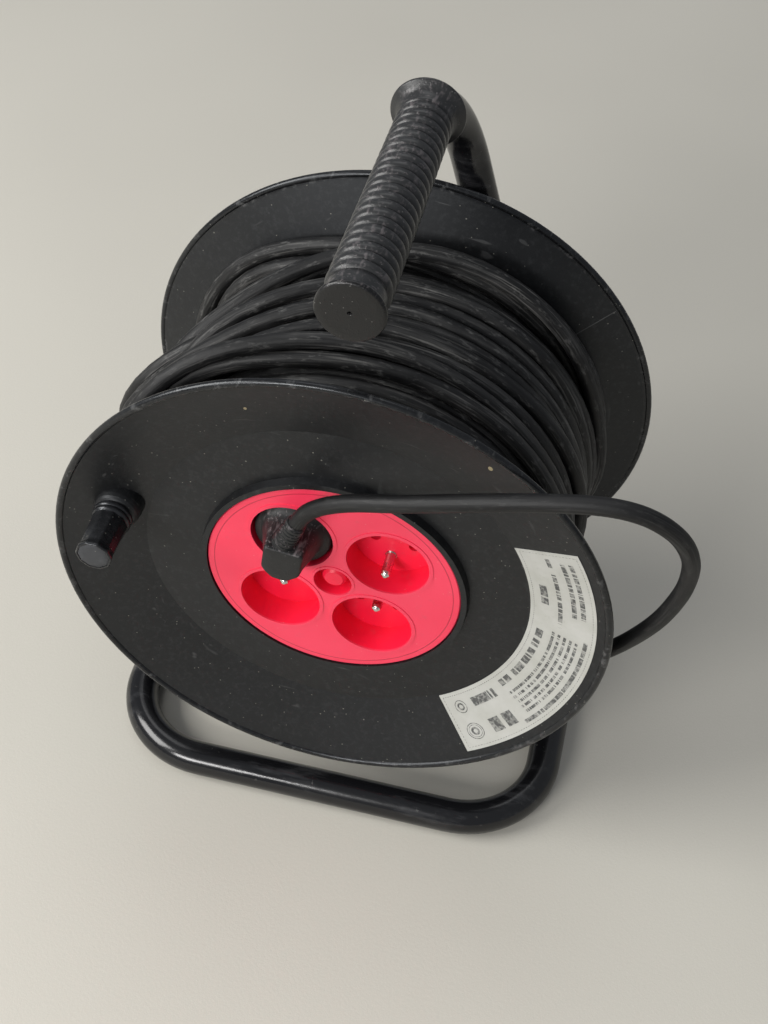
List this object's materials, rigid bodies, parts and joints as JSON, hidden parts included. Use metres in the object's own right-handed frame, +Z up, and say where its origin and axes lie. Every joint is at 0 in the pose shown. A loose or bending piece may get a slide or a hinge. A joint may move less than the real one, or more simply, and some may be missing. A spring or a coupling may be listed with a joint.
{
  "type": "extension cord reel",
  "caption": "Cable reel on a bent tube stand: dished drum with a socket plate and crank knob, cable wound on and its plug parked in a socket.",
  "frame": {"origin": "on the floor, midway across the flanges and midway between the crank knob's end and the back of the tube", "axes": "+X to the right seen from the socket side, +Y from the socket side to the back, parallel to the drum's axle, +Z up"},
  "size_m": [0.2948, 0.2052, 0.3695],
  "materials": {
    "gloss_black_paint": "gloss black enamel on steel tube, scuffed",
    "black_plastic": "moulded black plastic",
    "satin_black_plastic": "satin black plastic with fine scratches",
    "grip_rubber": "matt ribbed rubber",
    "zinc_steel": "zinc plated steel",
    "spring_steel": "plain spring steel",
    "bush_plastic": "natural bearing plastic",
    "label_film": "thin printed film",
    "red_plastic": "moulded red plastic",
    "nickel_pins": "nickel plated brass",
    "brass_parts": "stamped brass",
    "cutout_case": "dark thermoset case",
    "white_plastic": "white terminal plastic",
    "cable_rubber": "worn black rubber cable sheath",
    "plug_rubber": "moulded black rubber, scratched"
  },
  "bodies": {
    "stand": {"frame_tube": "gloss_black_paint", "tube_cap": "black_plastic", "handle_grip": "grip_rubber", "axle_plate": "gloss_black_paint", "plate_screws": "zinc_steel", "axle": "zinc_steel", "axle_nut": "zinc_steel", "axle_washers": "zinc_steel", "axle_clip": "spring_steel"},
    "drum": {"front_flange": "satin_black_plastic", "rear_flange": "satin_black_plastic", "drum_core": "satin_black_plastic", "flange_screws": "zinc_steel", "hub_bush": "bush_plastic", "rating_label": "label_film", "crank_pin": "zinc_steel", "socket_plate": "red_plastic", "earth_pins": "nickel_pins", "contact_sleeves": "brass_parts", "live_bar": "brass_parts", "neutral_bar": "brass_parts", "earth_bar": "brass_parts", "thermal_cutout": "cutout_case", "reset_spring": "spring_steel", "terminal_block": "white_plastic", "contact_cover": "black_plastic", "cover_screws": "zinc_steel", "inner_lead": "cable_rubber", "lead_clamp": "white_plastic", "clamp_screws": "zinc_steel", "plug_body": "plug_rubber", "plug_pins": "nickel_pins", "plug_relief": "plug_rubber", "cord_winding": "cable_rubber", "cord_tail": "cable_rubber"},
    "knob": {"crank_knob": "black_plastic", "knob_cap": "black_plastic"},
    "button": {"reset_button": "red_plastic"}
  },
  "joints": [
    {"name": "drum_spin", "type": "hinge", "parent": "stand", "child": "drum", "pos_m": [0, 0, 0.1692], "axis": [0, -1, 0], "continuous": true, "deforming": ["cord_tail"]},
    {"name": "knob_spin", "type": "hinge", "parent": "drum", "child": "knob", "pos_m": [-0.10334, -0.09, 0.19496], "axis": [0, -1, 0], "continuous": true},
    {"name": "reset_press", "type": "slide", "parent": "drum", "child": "button", "axis": [0, 1, 0], "range_m": [0, 0.0025], "stiffness_N_per_m": 800, "deforming": ["reset_spring"]}
  ]
}
